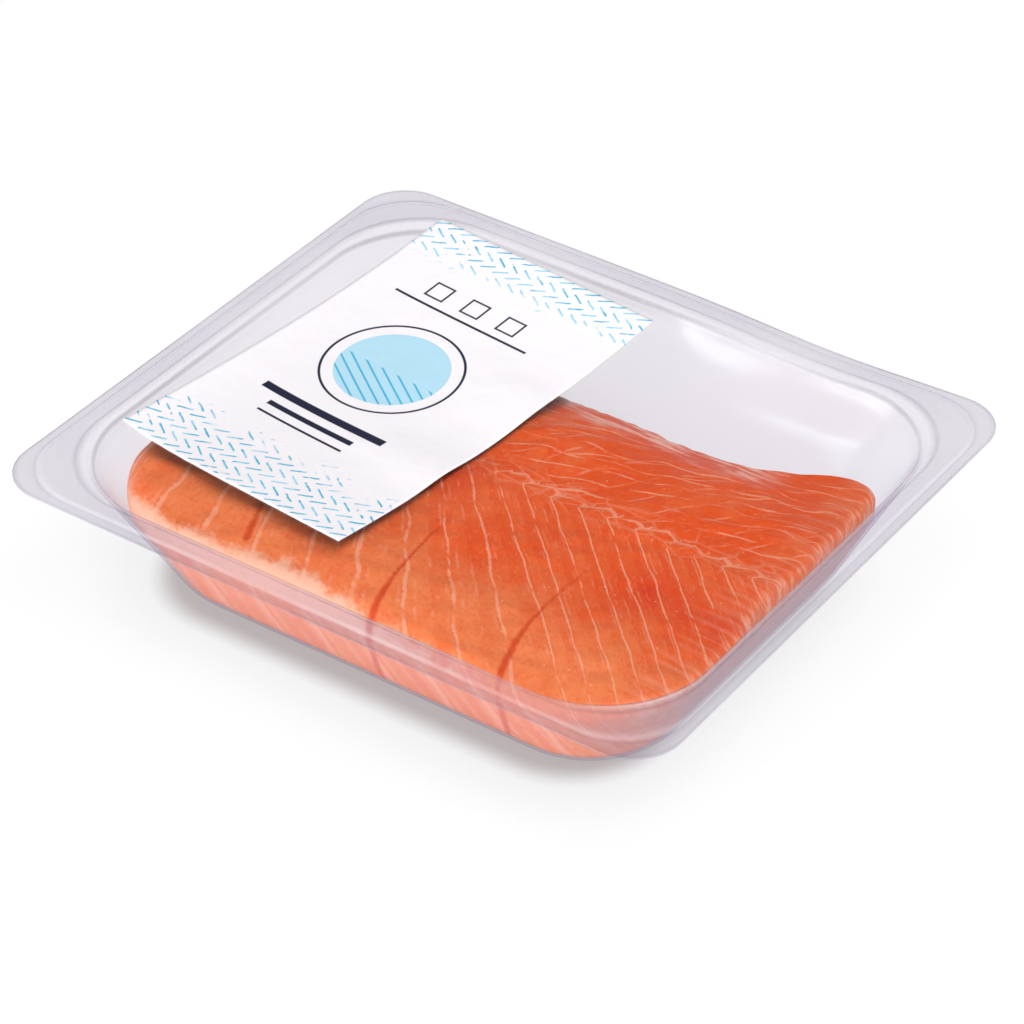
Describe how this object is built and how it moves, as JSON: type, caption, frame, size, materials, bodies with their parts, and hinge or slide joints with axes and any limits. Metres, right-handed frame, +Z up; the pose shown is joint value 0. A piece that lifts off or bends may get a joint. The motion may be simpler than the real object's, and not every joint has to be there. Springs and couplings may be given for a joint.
{
  "type": "pack of salmon fillet",
  "caption": "Clear formed tray with a piece of salmon fillet, sealed under a clear film with a paper label.",
  "frame": {"origin": "on the surface that the pack lies on, under the middle of the whole pack", "axes": "+X along the tray's long side, towards the fillet's cut end; +Y across the tray, from the side that the fillet fills to the side with free space; +Z up through the film"},
  "size_m": [0.19, 0.164, 0.0401],
  "materials": {
    "tray": "clear formed plastic sheet",
    "film": "clear thin film, glossy",
    "label": "smooth white paper with a plain printed pattern",
    "fillet": "moist orange fish flesh with pale fat lines"
  },
  "bodies": {
    "root": {"tray": "tray", "film": "film", "label": "label", "fillet": "fillet"}
  },
  "joints": []
}
